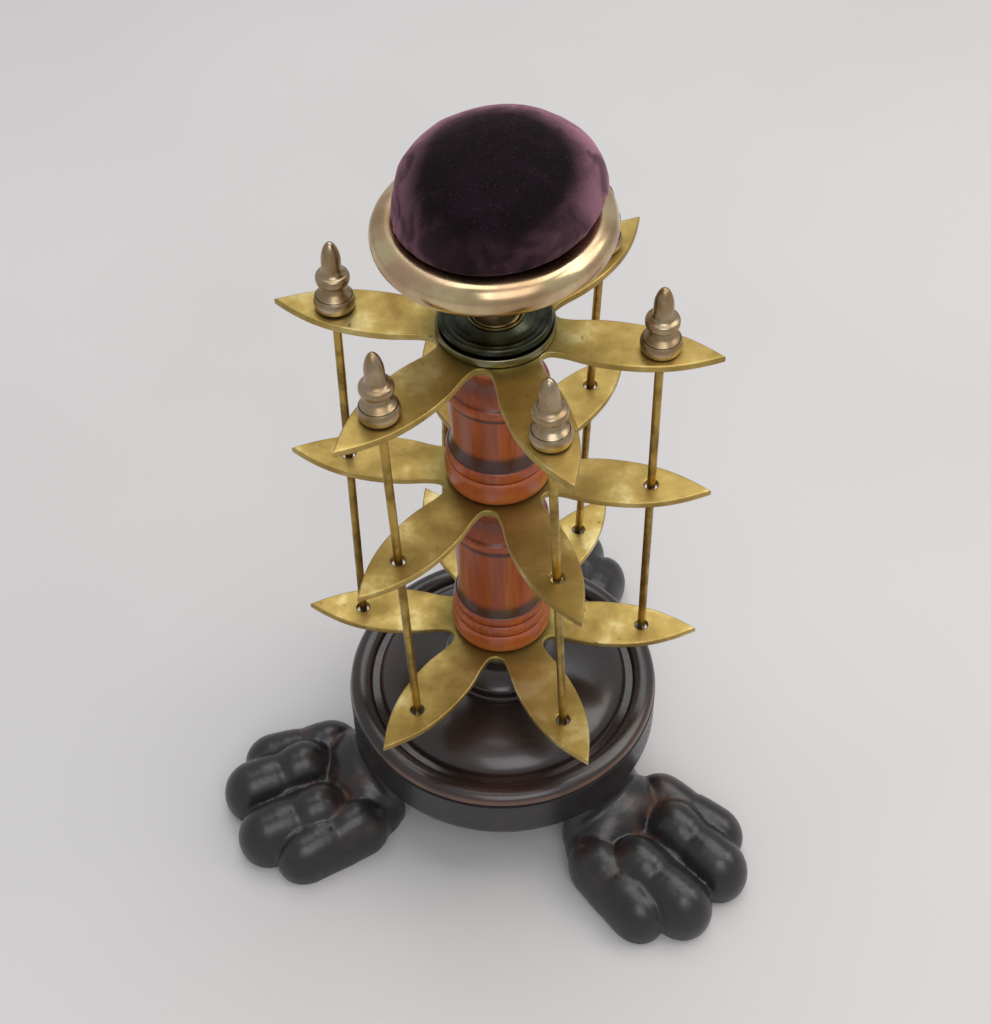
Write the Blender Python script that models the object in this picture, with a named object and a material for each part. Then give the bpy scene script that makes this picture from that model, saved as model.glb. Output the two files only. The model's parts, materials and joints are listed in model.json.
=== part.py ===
"""A pin cushion on a cotton-reel stand.

A velvet cushion in a brass dish crowns a column of turned wood. Three brass star plates carry six
loose wires for cotton reels, and a cast-iron tripod with lion paws stands the whole on a table.
Metres, +Z up, the floor at z = 0, the origin under the middle of the footprint. The photographed
front faces -Y.
"""

import math

import bmesh
import bpy
from mathutils import Matrix, Vector

mm = 0.001

# Clearances
seat_gap = 0.3 * mm  # between pieces that rest on each other
bore_gap = 0.3 * mm  # round the tie rod, and round a wire in its finial
hole_play = 0.65 * mm  # round a wire in a star plate

# Casting: a round apron and its feet
foot_azimuths = (math.radians(-44.0), math.radians(76.0), math.radians(199.0))
apron_radius = 45.2 * mm
apron_wall = 6.0 * mm
apron_depth = 14.5 * mm
apron_clearance = 22.5 * mm  # from the floor to the apron's lower edge
apron_edge = 3.0 * mm  # rounding of the lower edge
web_thickness = 6.0 * mm
hollow_fillet = 5.0 * mm
casting_voxel = 1.0 * mm
casting_detail = 0.042  # share of the blended surface's faces that is kept

# Paw: two middle and two outer toes, a palm, an ankle and a leg up into the apron
paw_reach = 86.5 * mm  # from the column's axis to the tips of the middle toes
toe_round = 9.5 * mm  # length of the rounding at each end of a toe
toe_flare = 6.0 * mm  # how far a toe's fullest level lies below half its height
toe_lobes = 9
toe_crease = 0.58  # place of the dip between a toe's two knuckles, as a share of the way from its tip
toe_crease_spread = 0.2  # share of a toe's length over which the dip runs out
middle_toe_length = 35.0 * mm
middle_toe_offset = 8.2 * mm
middle_toe_width = 8.7 * mm  # half of its width, as for the outer toe
middle_tip_crest = 17.0 * mm
middle_knuckle_crest = 20.0 * mm
middle_saddle = 2.4 * mm  # depth of that dip
outer_toe_length = 36.0 * mm
outer_toe_offset = 19.2 * mm
outer_toe_width = 7.8 * mm
outer_tip_crest = 14.5 * mm
outer_knuckle_crest = 17.0 * mm
outer_saddle = 1.0 * mm
outer_toe_setback = 9.0 * mm
outer_toe_splay = math.radians(9.0)
ankle_width = 18.0 * mm
ankle_length = 12.0 * mm
ankle_crest = 20.5 * mm
leg_width = 15.0 * mm
leg_length = 8.0 * mm
leg_crest = 29.0 * mm
palm_width = 19.0 * mm
palm_length = 20.0 * mm
palm_crest = 13.0 * mm

# Plinth
plinth_height = 27.5 * mm
plinth_radius = 45.0 * mm
plinth_rim_height = 3.9 * mm
plinth_rim_width = 6.6 * mm
plinth_groove_depth = 2.4 * mm
plinth_groove_width = 2.0 * mm
plinth_dome_rise = 9.0 * mm
plinth_dome_crown = 17.0 * mm  # radius at which the dome meets the neck
plinth_bead_height = 2.2 * mm
plinth_neck_radius = 12.4 * mm
plinth_head_radius = 14.2 * mm
plinth_head_height = 3.0 * mm
plinth_head_depth = 1.0 * mm

# Star plates
leaf_count = 6
plate_thickness = 2.0 * mm
leaf_reach = 55.0 * mm
leaf_width = 15.2 * mm
leaf_belly = 29.5 * mm  # distance from the axis to the widest place of a leaf
leaf_tip_angle = math.radians(32.0)  # between a leaf's midline and its edge, at the tip
notch_radius = 15.0 * mm  # from the axis to the bottom of the notch between leaves
notch_round = 2.8 * mm
hole_circle = 39.7 * mm
top_plate_turn = math.radians(-12.65)
bottom_plate_turn = math.radians(-6.15)

# Column sections
column_lower_length = 58.3 * mm
column_upper_length = 46.7 * mm
column_lower_beads = (6.3 * mm, 3.8 * mm, 3.5 * mm)  # from the foot upwards
column_upper_beads = (7.3 * mm, 3.8 * mm)
column_foot_radius = 13.9 * mm
column_bead_step = 0.45 * mm  # each bead is this much smaller than the one below
column_bead_depth = 0.8 * mm
column_waist_radius = 11.8 * mm
column_waist_rise = 2.6 * mm
column_lip_radius = 13.3 * mm
column_lip_height = 3.0 * mm
column_cove_radius = 10.3 * mm
column_cove_height = 10.6 * mm
column_ring_radius = 12.9 * mm
column_ring_height = 3.6 * mm

# Collar
collar_radius = 14.55 * mm
collar_flange_height = 1.9 * mm
collar_bead_height = 2.4 * mm
collar_bead_depth = 0.8 * mm
collar_hollow_depth = 1.4 * mm
collar_socket_depth = 2.0 * mm
collar_socket_lip = 0.6 * mm

# Dish
dish_foot_radius = 6.2 * mm
dish_foot_height = 2.4 * mm
dish_neck_radius = 4.9 * mm
dish_neck_height = 7.6 * mm
dish_floor_height = 15.4 * mm
dish_rim_height = 27.1 * mm  # from the foot to the middle of the rolled rim
dish_rim_radius = 24.1 * mm
dish_rim_roll = 4.4 * mm
dish_wall = 2.0 * mm

# Cushion
cushion_radius = 24.3 * mm
cushion_crown = 12.4 * mm  # from its widest place to its top
cushion_lift = 11.5 * mm  # from the middle of the rolled rim to its widest place
velvet_thickness = 1.0 * mm
board_thickness = 2.0 * mm

# Tie rod and its nuts
tie_rod_radius = 2.5 * mm
tie_rod_proud = 1.0 * mm  # past each nut
nut_flats = 8.0 * mm
nut_height = 3.6 * mm
washer_radius = 8.0 * mm
washer_thickness = 1.2 * mm

# Spindles
wire_radius = 1.1 * mm
wire_proud = 2.5 * mm  # below the lowest plate
finial_bore_depth = 8.5 * mm
finial_base_radius = 5.1 * mm
finial_base_height = 5.4 * mm
finial_base_groove = 0.45 * mm
finial_neck_radius = 2.9 * mm
finial_neck_height = 1.6 * mm  # below and above the ring
finial_ring_radius = 4.2 * mm
finial_ring_height = 2.6 * mm
finial_ring_depth = 0.6 * mm
finial_shank_radius = 2.4 * mm
finial_height = 18.7 * mm

# Facets
wide_steps = 24
column_steps = 22
small_steps = 20  # twice the steps of the finials and the filling, so that their corners line up
finial_steps = 10
edge_steps = 3  # to each stretch of a star plate's edge
hole_steps = 2  # to each quarter of a hole

# Levels, from the floor upwards
apron_top = apron_clearance + apron_depth
plinth_foot = apron_top + seat_gap
plate_bottom_under = plinth_foot + plinth_height + seat_gap
column_lower_foot = plate_bottom_under + plate_thickness + seat_gap
plate_middle_under = column_lower_foot + column_lower_length + seat_gap
column_upper_foot = plate_middle_under + plate_thickness + seat_gap
plate_top_under = column_upper_foot + column_upper_length + seat_gap
collar_foot = plate_top_under + plate_thickness + seat_gap
collar_height = collar_flange_height + collar_bead_height + collar_socket_lip
dish_foot = collar_foot + collar_height - collar_socket_depth + seat_gap
bore_radius = tie_rod_radius + bore_gap


def clear_scene():
    for old in list(bpy.data.objects):
        bpy.data.objects.remove(old, do_unlink=True)


def finish(name, colour, roughness, metallic):
    made = bpy.data.materials.new(name)
    made.use_nodes = True
    shader = made.node_tree.nodes["Principled BSDF"]
    shader.inputs["Base Color"].default_value = (*colour, 1.0)
    shader.inputs["Roughness"].default_value = roughness
    shader.inputs["Metallic"].default_value = metallic
    made.diffuse_color = (*colour, 1.0)
    return made


def place(obj, parent, height=0.0, turn=0.0):
    bpy.context.scene.collection.objects.link(obj)
    obj.parent = parent
    obj.location = (0.0, 0.0, height)
    obj.rotation_euler = (0.0, 0.0, turn)
    return obj


def arc(centre, radius, start, end, steps):
    """Points of a circle in the profile plane, from one angle in degrees to another."""
    angles = [math.radians(start + (end - start) * i / steps) for i in range(steps + 1)]
    return [(centre[0] + radius * math.cos(a), centre[1] + radius * math.sin(a)) for a in angles]


def bezier(first, first_pull, second_pull, second, steps):
    points = []
    for i in range(steps + 1):
        t = i / steps
        weights = ((1 - t) ** 3, 3 * t * (1 - t) ** 2, 3 * t * t * (1 - t), t**3)
        corners = (first, first_pull, second_pull, second)
        points.append(tuple(sum(w * c[axis] for w, c in zip(weights, corners)) for axis in (0, 1)))
    return points


def bead(radius, depth, top, bottom, steps=4):
    """A half-round moulding, from its upper quirk down to its lower one."""
    points = []
    for i in range(steps + 1):
        angle = math.pi * (0.5 - i / steps)
        points.append(
            (
                radius - depth + depth * math.cos(angle),
                (top + bottom) / 2 + (top - bottom) / 2 * math.sin(angle),
            )
        )
    return points


def cove(upper, lower, depth, steps=4):
    """A hollow moulding between two points, without those points themselves."""
    points = []
    for i in range(1, steps):
        t = i / steps
        points.append(
            (
                upper[0] + (lower[0] - upper[0]) * t - depth * math.sin(math.pi * t),
                upper[1] + (lower[1] - upper[1]) * t,
            )
        )
    return points


def spin_profile(work, profile, steps, closed):
    corners = [work.verts.new((radius, 0.0, height)) for radius, height in profile]
    pairs = list(zip(corners, corners[1:]))
    if closed:
        pairs.append((corners[-1], corners[0]))
    sides = [work.edges.new(pair) for pair in pairs]
    bmesh.ops.spin(
        work,
        geom=corners + sides,
        cent=(0.0, 0.0, 0.0),
        axis=(0.0, 0.0, 1.0),
        angle=2 * math.pi,
        steps=steps,
        use_merge=True,
    )
    bmesh.ops.remove_doubles(work, verts=work.verts, dist=0.001 * mm)
    bmesh.ops.recalc_face_normals(work, faces=work.faces)


def mesh_object(name, work, material):
    mesh = bpy.data.meshes.new(name)
    work.to_mesh(mesh)
    work.free()
    mesh.shade_smooth()
    mesh.set_sharp_from_angle(angle=math.radians(40.0))
    mesh.materials.append(material)
    return bpy.data.objects.new(name, mesh)


def turned(name, profile, steps, material, closed=True):
    """A piece turned about Z. An open profile starts and ends on the axis."""
    work = bmesh.new()
    spin_profile(work, profile, steps, closed)
    return mesh_object(name, work, material)


def helper(obj):
    obj.hide_render = True
    obj.display_type = "WIRE"
    return obj


def cut(obj, cutter):
    boolean = obj.modifiers.new(cutter.name, "BOOLEAN")
    boolean.operation = "DIFFERENCE"
    boolean.object = cutter


def lobe(work, frame, centre, half):
    """An egg-shaped mass of the paw, added to the casting's pattern."""
    shape = frame @ Matrix.Translation(centre) @ Matrix.Diagonal((*half, 1.0))
    bmesh.ops.create_icosphere(work, subdivisions=4, radius=1.0, matrix=shape)


def toe(work, tip_frame, length, width, tip_crest, knuckle_crest, saddle):
    """One toe: a row of lobes back from its tip, with a dip between its two knuckles."""
    for i in range(toe_lobes):
        share = i / (toe_lobes - 1)
        back = toe_round + (length - 2 * toe_round) * share
        crest = tip_crest + (knuckle_crest - tip_crest) * share
        crest -= saddle * math.exp(-(((share - toe_crease) / toe_crease_spread) ** 2))
        middle = crest / 2 - toe_flare / 2
        lobe(work, tip_frame, (-back, 0.0, middle), (toe_round, width, crest - middle))


def paw(work, azimuth):
    frame = Matrix.Rotation(azimuth, 4, "Z")
    for side in (-1, 1):
        inner = frame @ Matrix.Translation((paw_reach, side * middle_toe_offset, 0.0))
        crests = (middle_tip_crest, middle_knuckle_crest, middle_saddle)
        toe(work, inner, middle_toe_length, middle_toe_width, *crests)
        outer_tip = Matrix.Translation((paw_reach - outer_toe_setback, side * outer_toe_offset, 0.0))
        outer = frame @ outer_tip @ Matrix.Rotation(side * outer_toe_splay, 4, "Z")
        crests = (outer_tip_crest, outer_knuckle_crest, outer_saddle)
        toe(work, outer, outer_toe_length, outer_toe_width, *crests)
    palm = (paw_reach - middle_toe_length + toe_round, 0.0, 0.0)
    lobe(work, frame, palm, (palm_length, palm_width, palm_crest))
    ankle = (apron_radius, 0.0, ankle_crest / 2 - toe_flare)
    lobe(work, frame, ankle, (ankle_length, ankle_width, ankle_crest / 2 + toe_flare))
    leg = (apron_radius - apron_wall, 0.0, leg_crest / 2 - toe_flare)
    lobe(work, frame, leg, (leg_length, leg_width, leg_crest / 2 + toe_flare))


def tripod_casting(material, parent):
    """Apron and paws blended into one skin, then cut flat where they seat and hollowed below."""
    work = bmesh.new()
    spare = 3 * casting_voxel
    edge = (apron_radius - apron_edge, apron_clearance + apron_edge)
    disc = [(0.0, apron_top + spare), (apron_radius, apron_top + spare)]
    disc += arc(edge, apron_edge, 0.0, -90.0, 3)
    disc += [(0.0, apron_clearance)]
    spin_profile(work, disc, 2 * wide_steps, closed=False)
    for azimuth in foot_azimuths:
        paw(work, azimuth)
    casting = place(mesh_object("tripod_base", work, material), parent)

    skin = casting.modifiers.new("one skin", "REMESH")
    skin.mode = "VOXEL"
    skin.voxel_size = casting_voxel
    fair = casting.modifiers.new("fair", "SMOOTH")
    fair.factor = 0.5
    fair.iterations = 3
    thin = casting.modifiers.new("fewer faces", "DECIMATE")
    thin.ratio = casting_detail

    slabs = bmesh.new()
    reach = 2 * paw_reach
    for low, high in ((-reach, 0.0), (apron_top, apron_top + reach)):
        middle = Matrix.Translation((0.0, 0.0, (low + high) / 2))
        size = Matrix.Diagonal((2 * reach, 2 * reach, high - low, 1.0))
        bmesh.ops.create_cube(slabs, size=1.0, matrix=middle @ size)
    trim = place(helper(mesh_object("flat_cut", slabs, material)), parent)
    cut(casting, trim)

    inner = apron_radius - apron_wall
    web_under = apron_top - web_thickness
    hollow = [(0.0, apron_top + spare), (bore_radius, apron_top + spare), (bore_radius, web_under)]
    hollow += arc((inner - hollow_fillet, web_under - hollow_fillet), hollow_fillet, 90.0, 0.0, 3)
    hollow += [(inner, -spare), (0.0, -spare)]
    core = place(helper(turned("hollow_cut", hollow, wide_steps, material, closed=False)), parent)
    cut(casting, core)
    return casting


def plinth_profile():
    groove = plinth_radius - plinth_rim_width
    dome_foot = plinth_rim_height - plinth_groove_depth
    dome_top = dome_foot + plinth_dome_rise
    neck_top = plinth_height - plinth_head_height
    head = bead(plinth_head_radius, plinth_head_depth, plinth_height, neck_top, 3)
    first = dome_top + 2 * plinth_bead_height
    second = dome_top + plinth_bead_height
    step = plinth_bead_height / 2
    ring_one = bead(plinth_dome_crown - step, step / 2, first, second, 3)
    ring_two = bead(plinth_dome_crown, step / 2, second, dome_top, 3)
    hollow = (head[-1][0] + ring_one[0][0]) / 2 - plinth_neck_radius
    neck = cove(head[-1], ring_one[0], hollow, 4)
    foot = (groove - plinth_groove_width, dome_foot)
    shoulder = (foot[0], dome_foot + 0.5 * plinth_dome_rise)
    flat = ((plinth_dome_crown + foot[0]) / 2, dome_top - 0.15 * plinth_dome_rise)
    dome = bezier(ring_two[-1], flat, shoulder, foot, 5)[1:]
    rim = bezier(
        (groove, dome_foot),
        (groove + 0.1 * plinth_rim_width, plinth_rim_height * 1.2),
        (plinth_radius, plinth_rim_height * 1.1),
        (plinth_radius, 0.2 * plinth_rim_height),
        4,
    )
    under = [(plinth_radius - 0.1 * plinth_rim_width, 0.0), (bore_radius, 0.0)]
    return head + neck + ring_one + ring_two[1:] + dome + rim + under + [(bore_radius, plinth_height)]


def column_profile(length, beads):
    ring_foot = length - column_ring_height
    lip_top = ring_foot - column_cove_height
    lip_foot = lip_top - column_lip_height
    beads_top = sum(beads)
    ring = bead(column_ring_radius, column_bead_depth, length, ring_foot, 3)
    lip = bead(column_lip_radius, column_bead_depth, lip_top, lip_foot, 3)
    hollow = (ring[-1][0] + lip[0][0]) / 2 - column_cove_radius
    neck = cove(ring[-1], lip[0], hollow, 4)
    waist = (column_waist_radius, beads_top + column_waist_rise)
    span = lip_foot - waist[1]
    upper_pull = (lip[-1][0], lip_foot - 0.45 * span)
    lower_pull = (column_waist_radius, waist[1] + 0.35 * span)
    barrel = bezier(lip[-1], upper_pull, lower_pull, waist, 4)[1:]
    mouldings = []
    top = beads_top
    for i in reversed(range(len(beads))):
        radius = column_foot_radius - i * column_bead_step
        mouldings += bead(radius, column_bead_depth, top, top - beads[i], 3)
        top -= beads[i]
    bore = [(bore_radius, 0.0), (bore_radius, length)]
    return ring + neck + lip + barrel + mouldings + bore


def collar_profile():
    bead_top = collar_flange_height + collar_bead_height
    socket_radius = dish_foot_radius + bore_gap
    ring_radius = socket_radius + collar_socket_lip
    rim = bead(collar_radius - collar_bead_depth, collar_bead_depth, bead_top, collar_flange_height, 4)
    inner_edge = (rim[0][0] - collar_bead_depth, bead_top)
    hollow_middle = (ring_radius + inner_edge[0]) / 2
    hollow = bezier(
        (ring_radius, bead_top),
        (hollow_middle, bead_top - 1.3 * collar_hollow_depth),
        (hollow_middle, bead_top - 1.3 * collar_hollow_depth),
        inner_edge,
        4,
    )
    floor = collar_height - collar_socket_depth
    socket = [(bore_radius, floor), (socket_radius, floor), (socket_radius, collar_height)]
    flange = [(collar_radius, collar_flange_height), (collar_radius, 0.0), (bore_radius, 0.0)]
    return socket + [(ring_radius, collar_height)] + hollow + rim + flange


def dish_profile():
    rim = (dish_rim_radius, dish_rim_height)
    roll = arc(rim, dish_rim_roll, 170.0, -110.0, 10)
    inner_wall = roll[0]
    under_rim = roll[-1]
    floor = dish_floor_height + dish_wall
    well = bezier(
        (0.4 * dish_rim_radius, floor),
        (0.65 * dish_rim_radius, floor),
        (inner_wall[0], floor + 0.3 * (dish_rim_height - floor)),
        (inner_wall[0], dish_rim_height - 0.4 * dish_rim_roll),
        4,
    )
    underside = bezier(
        under_rim,
        (0.62 * under_rim[0], dish_floor_height),
        (dish_neck_radius, dish_floor_height - dish_wall),
        (dish_neck_radius, dish_neck_height),
        5,
    )
    foot = [(dish_foot_radius, dish_foot_height), (dish_foot_radius, 0.0), (bore_radius, 0.0)]
    return [(bore_radius, floor)] + well + roll + underside[1:] + foot


def cushion_profile(inset, foot, steps):
    """The pad's outline, moved inwards by inset: a crowned top, and sides tucked in behind the rim."""
    widest = dish_rim_height + cushion_lift
    crown = []
    for i in range(steps + 1):
        angle = math.radians(90.0 - 105.0 * i / steps)
        crown.append(
            (
                (cushion_radius - inset) * max(math.cos(angle), 0.0),
                widest + (cushion_crown - inset) * math.sin(angle),
            )
        )
    crown[0] = (0.0, crown[0][1])
    tuck_radius = dish_rim_roll + seat_gap + inset
    tuck = arc((dish_rim_radius, dish_rim_height), tuck_radius, 106.0, 180.0, 4)
    return crown + tuck + [(tuck[-1][0], foot)]


def finial_profile():
    ring_foot = finial_base_height + finial_neck_height
    ring_top = ring_foot + finial_ring_height
    shank_foot = ring_top + finial_neck_height
    shoulder = 0.72 * finial_height
    tip = bezier(
        (0.0, finial_height),
        (0.65 * finial_shank_radius, finial_height),
        (finial_shank_radius, shoulder + 0.3 * (finial_height - shoulder)),
        (finial_shank_radius, shoulder),
        3,
    )
    ring = bead(finial_ring_radius, finial_ring_depth, ring_top, ring_foot, 3)
    base = bezier(
        (finial_neck_radius, finial_base_height),
        (finial_neck_radius + finial_base_groove, 0.7 * finial_base_height),
        (finial_base_radius, 0.75 * finial_base_height),
        (finial_base_radius, 0.25 * finial_base_height),
        4,
    )
    base.insert(3, (base[2][0], base[2][1] - finial_base_groove))
    wire_bore = wire_radius + bore_gap
    bore = [(wire_bore, 0.0), (wire_bore, finial_bore_depth), (0.0, finial_bore_depth)]
    foot = [(finial_base_radius - finial_base_groove, 0.0)]
    return tip + [(finial_shank_radius, shank_foot)] + ring + base + foot + bore


def circle_spline(curve, centre, radius):
    ring = curve.splines.new("BEZIER")
    ring.resolution_u = hole_steps
    ring.use_cyclic_u = True
    ring.bezier_points.add(3)
    pull = radius * 4 / 3 * math.tan(math.pi / 8)
    for i, point in enumerate(ring.bezier_points):
        angle = i * math.pi / 2
        spot = Vector((math.cos(angle), math.sin(angle), 0.0))
        along = Vector((-math.sin(angle), math.cos(angle), 0.0))
        point.co = Vector(centre) + radius * spot
        point.handle_left = point.co - pull * along
        point.handle_right = point.co + pull * along


def flat_curve(name, thickness, material):
    curve = bpy.data.curves.new(name, "CURVE")
    curve.dimensions = "2D"
    curve.fill_mode = "BOTH"
    curve.extrude = thickness / 2
    curve.resolution_u = edge_steps
    curve.materials.append(material)
    return curve


def leaf_edge():
    """Knots of one side of a leaf, from its notch to its tip, as (point, handle before, handle after)."""
    half_turn = math.pi / leaf_count
    notch_middle = notch_radius + notch_round
    centre = Vector((notch_middle * math.cos(half_turn), notch_middle * math.sin(half_turn), 0.0))
    inward = Vector((math.cos(half_turn), math.sin(half_turn), 0.0))
    across = Vector((math.sin(half_turn), -math.cos(half_turn), 0.0))
    forward = Vector((1.0, 0.0, 0.0))
    pull = notch_round * 4 / 3 * math.tan((math.pi / 2 - half_turn) / 4)
    bottom = centre - notch_round * inward
    root = centre - notch_round * Vector((0.0, 1.0, 0.0))
    belly = Vector((leaf_belly, leaf_width / 2, 0.0))
    tip = Vector((leaf_reach, 0.0, 0.0))
    neck_pull = 0.35 * (leaf_belly - root.x)
    tip_pull = 0.36 * (leaf_reach - leaf_belly)
    back = Vector((-math.cos(leaf_tip_angle), math.sin(leaf_tip_angle), 0.0))
    return [
        (bottom, bottom - pull * across, bottom + pull * across),
        (root, root - pull * forward, root + neck_pull * forward),
        (belly, belly - 1.6 * neck_pull * forward, belly + 1.2 * tip_pull * forward),
        (tip, tip + tip_pull * back, tip + tip_pull * Vector((back.x, -back.y, 0.0))),
    ]


def star_plate(name, under, turn, material, parent):
    curve = flat_curve(name, plate_thickness, material)
    rising = leaf_edge()
    flip = Matrix.Scale(-1.0, 4, (0.0, 1.0, 0.0))
    falling = [(flip @ p, flip @ after, flip @ before) for p, before, after in rising[1:3]]
    knots = []
    for i in range(leaf_count):
        spin = Matrix.Rotation(-2 * math.pi * i / leaf_count, 4, "Z")
        for knot in rising + falling[::-1]:
            knots.append([spin @ Vector(corner) for corner in knot])
    outline = curve.splines.new("BEZIER")
    outline.resolution_u = edge_steps
    outline.use_cyclic_u = True
    outline.bezier_points.add(len(knots) - 1)
    for point, (spot, before, after) in zip(outline.bezier_points, knots):
        point.co = spot
        point.handle_left = before
        point.handle_right = after
    for i in range(leaf_count):
        angle = 2 * math.pi * i / leaf_count
        centre = (hole_circle * math.cos(angle), hole_circle * math.sin(angle), 0.0)
        circle_spline(curve, centre, wire_radius + hole_play)
    circle_spline(curve, (0.0, 0.0, 0.0), bore_radius)
    plate = bpy.data.objects.new(name, curve)
    return place(plate, parent, under + plate_thickness / 2, turn)


def flat_ring(name, corners, radius, thickness, foot, material, parent):
    """A washer or, with six corners, a nut."""
    curve = flat_curve(name, thickness, material)
    outline = curve.splines.new("POLY")
    outline.use_cyclic_u = True
    outline.points.add(corners - 1)
    for i, point in enumerate(outline.points):
        angle = 2 * math.pi * i / corners
        point.co = (radius * math.cos(angle), radius * math.sin(angle), 0.0, 1.0)
    circle_spline(curve, (0.0, 0.0, 0.0), bore_radius)
    return place(bpy.data.objects.new(name, curve), parent, foot + thickness / 2)


def round_bar(name, radius, low, high, steps, material):
    profile = [(0.0, high), (radius, high), (radius, low), (0.0, low)]
    return turned(name, profile, steps, material, closed=False)


def on_hole_circle(turn, index, height):
    angle = turn + 2 * math.pi * index / leaf_count
    return Vector((hole_circle * math.cos(angle), hole_circle * math.sin(angle), height))


def middle_plate_turn():
    """The turn that puts the middle plate's holes on the straight line between the outer two."""
    low = on_hole_circle(bottom_plate_turn, 0, plate_bottom_under)
    high = on_hole_circle(top_plate_turn, 0, plate_top_under)
    share = (plate_middle_under - low.z) / (high.z - low.z)
    crossing = low.lerp(high, share)
    return math.atan2(crossing.y, crossing.x)


def spindle(index, wire_brass, finial_brass, parent):
    """A wire and its finial, on an axis that runs through the holes of the three plates."""
    plate_top = plate_top_under + plate_thickness
    low = on_hole_circle(bottom_plate_turn, index, plate_bottom_under)
    high = on_hole_circle(top_plate_turn, index, plate_top)
    along = (high - low).normalized()
    axis = bpy.data.objects.new(f"spindle_axis_{index + 1}", None)
    bpy.context.scene.collection.objects.link(axis)
    axis.parent = parent
    axis.location = high
    axis.rotation_mode = "QUATERNION"
    axis.rotation_quaternion = Vector((0.0, 0.0, 1.0)).rotation_difference(along)

    lean = math.acos(along.z)
    seat = seat_gap + finial_base_radius * math.tan(lean)
    wire_top = seat + finial_bore_depth - bore_gap
    wire_foot = -(high - low).length - wire_proud
    name = f"spindle_{index + 1}"
    place(round_bar(name, wire_radius, wire_foot, wire_top, finial_steps, wire_brass), axis)
    knob = turned(f"finial_{index + 1}", finial_profile(), finial_steps, finial_brass, closed=False)
    place(knob, axis, seat)


def tie_rod_set(iron, parent):
    web_under = apron_top - web_thickness
    washer_foot = web_under - seat_gap - washer_thickness
    base_nut_foot = washer_foot - seat_gap - nut_height
    dish_nut_foot = dish_foot + dish_floor_height + dish_wall + seat_gap
    rod_foot = base_nut_foot - tie_rod_proud
    rod_top = dish_nut_foot + nut_height + tie_rod_proud
    corner = nut_flats / 2 / math.cos(math.pi / 6)
    place(round_bar("tie_rod", tie_rod_radius, rod_foot, rod_top, finial_steps, iron), parent)
    flat_ring("base_washer", small_steps, washer_radius, washer_thickness, washer_foot, iron, parent)
    flat_ring("base_nut", 6, corner, nut_height, base_nut_foot, iron, parent)
    flat_ring("dish_nut", 6, corner, nut_height, dish_nut_foot, iron, parent)
    return rod_top


def cushion_set(rod_top, velvet, wool, card, parent):
    inner_wall = dish_rim_radius - dish_rim_roll
    board_radius = inner_wall - seat_gap - velvet_thickness
    board_foot = rod_top + seat_gap
    board = round_bar("cushion_board", board_radius, 0.0, board_thickness, small_steps, card)
    place(board, parent, board_foot)
    foot = board_foot + board_thickness + seat_gap - dish_foot
    outside = cushion_profile(0.0, foot, 7)
    inside = cushion_profile(velvet_thickness, foot, 6)
    cover = turned("velvet_cover", outside + inside[::-1], small_steps, velvet, closed=False)
    place(cover, parent, dish_foot)
    stuffing = cushion_profile(velvet_thickness + seat_gap, foot, 5) + [(0.0, foot)]
    place(turned("cushion_filling", stuffing, finial_steps, wool, closed=False), parent, dish_foot)


def centre_footprint(stand, casting):
    """Moves the stand so that the middle of the casting's footprint is over the origin."""
    bpy.context.view_layer.update()
    graph = bpy.context.evaluated_depsgraph_get()
    corners = [Vector(corner) for corner in casting.evaluated_get(graph).bound_box]
    for axis in (0, 1):
        low = min(corner[axis] for corner in corners)
        high = max(corner[axis] for corner in corners)
        stand.location[axis] = -(low + high) / 2


def build():
    clear_scene()
    brass = finish("satin brass", (0.46, 0.33, 0.10), 0.38, 1.0)
    bright_brass = finish("polished brass", (0.52, 0.38, 0.17), 0.25, 1.0)
    dark_brass = finish("darkened brass", (0.045, 0.048, 0.038), 0.35, 1.0)
    dull_brass = finish("dull brass", (0.24, 0.18, 0.12), 0.42, 1.0)
    iron = finish("black cast iron", (0.014, 0.013, 0.013), 0.45, 0.6)
    steel = finish("iron rod", (0.16, 0.15, 0.14), 0.5, 1.0)
    mahogany = finish("varnished mahogany", (0.19, 0.048, 0.018), 0.32, 0.0)
    dark_wood = finish("ebonised wood", (0.016, 0.010, 0.009), 0.3, 0.0)
    velvet = finish("plum velvet", (0.030, 0.010, 0.018), 0.95, 0.0)
    wool = finish("wool stuffing", (0.55, 0.50, 0.42), 0.95, 0.0)
    card = finish("pasteboard", (0.35, 0.27, 0.18), 0.9, 0.0)

    stand = bpy.data.objects.new("stand", None)
    bpy.context.scene.collection.objects.link(stand)
    casting = tripod_casting(iron, stand)
    place(turned("plinth", plinth_profile(), wide_steps, dark_wood), stand, plinth_foot)

    star_plate("star_plate_bottom", plate_bottom_under, bottom_plate_turn, brass, stand)
    star_plate("star_plate_middle", plate_middle_under, middle_plate_turn(), brass, stand)
    star_plate("star_plate_top", plate_top_under, top_plate_turn, brass, stand)

    lower = column_profile(column_lower_length, column_lower_beads)
    upper = column_profile(column_upper_length, column_upper_beads)
    place(turned("column_lower", lower, column_steps, mahogany), stand, column_lower_foot)
    place(turned("column_upper", upper, column_steps, mahogany), stand, column_upper_foot)

    place(turned("collar", collar_profile(), small_steps, dark_brass), stand, collar_foot)
    place(turned("cushion_dish", dish_profile(), wide_steps, bright_brass), stand, dish_foot)
    rod_top = tie_rod_set(steel, stand)
    cushion_set(rod_top, velvet, wool, card, stand)
    for index in range(leaf_count):
        spindle(index, brass, dull_brass, stand)
    centre_footprint(stand, casting)


build()
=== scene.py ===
import json
import math

import bpy
from mathutils import Matrix, Vector


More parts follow.
